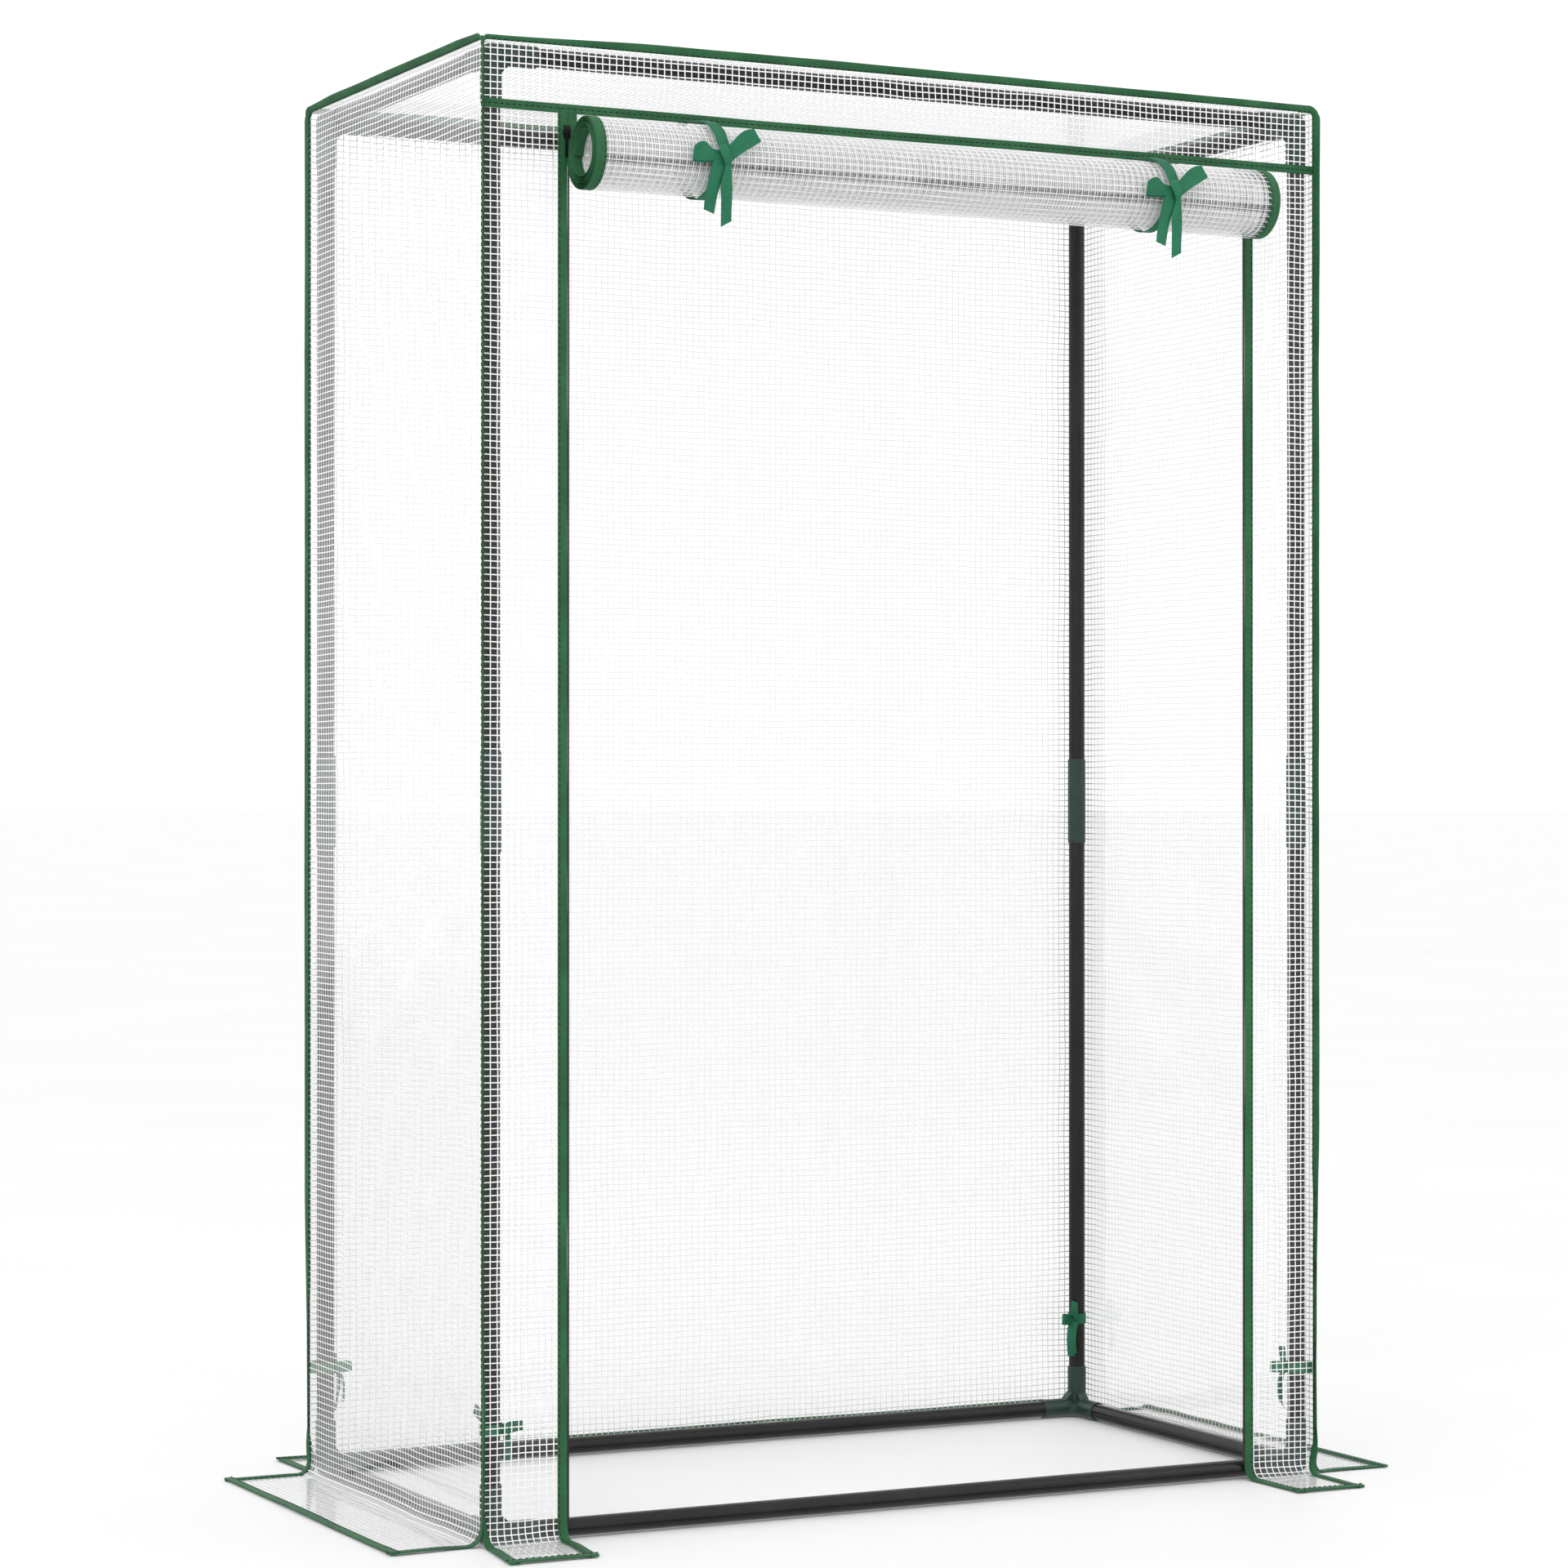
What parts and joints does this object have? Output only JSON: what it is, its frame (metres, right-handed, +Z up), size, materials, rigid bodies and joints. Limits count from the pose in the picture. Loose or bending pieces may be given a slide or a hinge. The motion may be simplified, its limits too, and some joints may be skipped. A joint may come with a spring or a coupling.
{
  "type": "mini greenhouse",
  "caption": "Upright mini greenhouse: push-fit tube frame under a slip-over cover of grid-reinforced clear film, with ground skirts and a roll-up zip door tied open.",
  "frame": {"origin": "middle of the base, on the ground, half way between the ends of the side skirts and between the front and back skirts", "axes": "+Z up, +X to the right along the front seen from outside, +Y from the door to the back wall"},
  "size_m": [1.186, 0.7, 1.5091],
  "materials": {
    "steel_tube": "satin",
    "connector_plastic": "satin",
    "grid_film": "gloss",
    "green_tape": "matte",
    "tie_ribbon": "matte",
    "zip_black": "satin",
    "zip_metal": "gloss"
  },
  "bodies": {
    "frame": {"post_lower_fl": "steel_tube", "post_lower_fr": "steel_tube", "post_lower_bl": "steel_tube", "post_lower_br": "steel_tube", "post_upper_fl": "steel_tube", "post_upper_fr": "steel_tube", "post_upper_bl": "steel_tube", "post_upper_br": "steel_tube", "post_coupler_fl": "connector_plastic", "post_coupler_fr": "connector_plastic", "post_coupler_bl": "connector_plastic", "post_coupler_br": "connector_plastic", "corner_bottom_fl": "connector_plastic", "corner_bottom_fr": "connector_plastic", "corner_bottom_bl": "connector_plastic", "corner_bottom_br": "connector_plastic", "corner_top_fl": "connector_plastic", "corner_top_fr": "connector_plastic", "corner_top_bl": "connector_plastic", "corner_top_br": "connector_plastic", "rail_bottom_front": "steel_tube", "rail_bottom_back": "steel_tube", "rail_bottom_left": "steel_tube", "rail_bottom_right": "steel_tube", "rail_top_front": "steel_tube", "rail_top_back": "steel_tube", "rail_top_left": "steel_tube", "rail_top_right": "steel_tube"},
    "cover": {"cover_roof": "grid_film", "cover_wall_left": "grid_film", "cover_wall_right": "grid_film", "cover_wall_back": "grid_film", "cover_flap_left": "grid_film", "cover_flap_right": "grid_film", "cover_valance": "grid_film", "seam_tape_corners": "green_tape", "seam_tape_roof": "green_tape", "hem_tape_skirts": "green_tape", "tape_valance": "green_tape", "tape_flap_left": "green_tape", "tape_flap_right": "green_tape", "zip_half_left": "zip_black", "zip_half_right": "zip_black", "door_film_upper": "grid_film", "door_tape_upper": "green_tape", "door_tie_left": "tie_ribbon", "door_tie_right": "tie_ribbon", "post_tie_fl": "tie_ribbon", "post_tie_fr": "tie_ribbon", "post_tie_bl": "tie_ribbon", "post_tie_br": "tie_ribbon"},
    "door_hem": {"door_film_lower": "grid_film", "door_tape_lower": "green_tape"},
    "door_rolled": {"door_roll": "grid_film", "door_roll_tape": "green_tape"},
    "slider_left": {"zip_slider_left": "zip_metal"},
    "slider_right": {"zip_slider_right": "zip_metal"},
    "pull_left": {"zip_pull_left": "zip_metal"},
    "pull_right": {"zip_pull_right": "zip_metal"}
  },
  "joints": [
    {"name": "cover_lift", "type": "slide", "parent": "frame", "child": "cover", "axis": [0, 0, 1], "range_m": [0, 1.55], "deforming": ["post_tie_fl", "post_tie_fr", "post_tie_bl", "post_tie_br"]},
    {"name": "door_drop", "type": "slide", "parent": "cover", "child": "door_hem", "axis": [0, 0, -1], "range_m": [0, 1.335], "deforming": ["door_tie_left", "door_tie_right"]},
    {"name": "door_unroll", "type": "hinge", "parent": "door_hem", "child": "door_rolled", "pos_m": [0, -0.287, 1.388], "axis": [1, 0, 0], "range_deg": [0, 2521]},
    {"name": "zip_left", "type": "slide", "parent": "cover", "child": "slider_left", "axis": [0, 0, -1], "range_m": [0, 1.335]},
    {"name": "zip_right", "type": "slide", "parent": "cover", "child": "slider_right", "axis": [0, 0, -1], "range_m": [0, 1.335]},
    {"name": "pull_swing_left", "type": "hinge", "parent": "slider_left", "child": "pull_left", "pos_m": [-0.4051, -0.2529, 1.4135], "axis": [-1, 0, 0], "range_deg": [-5, 150]},
    {"name": "pull_swing_right", "type": "hinge", "parent": "slider_right", "child": "pull_right", "pos_m": [0.4081, -0.2529, 1.4135], "axis": [-1, 0, 0], "range_deg": [-5, 150]}
  ],
  "couplings": [
    {"joint": "door_unroll", "follows": "door_drop", "rad_per_m": 32.946},
    {"joint": "zip_left", "follows": "door_drop", "ratio": 1},
    {"joint": "zip_right", "follows": "door_drop", "ratio": 1}
  ]
}
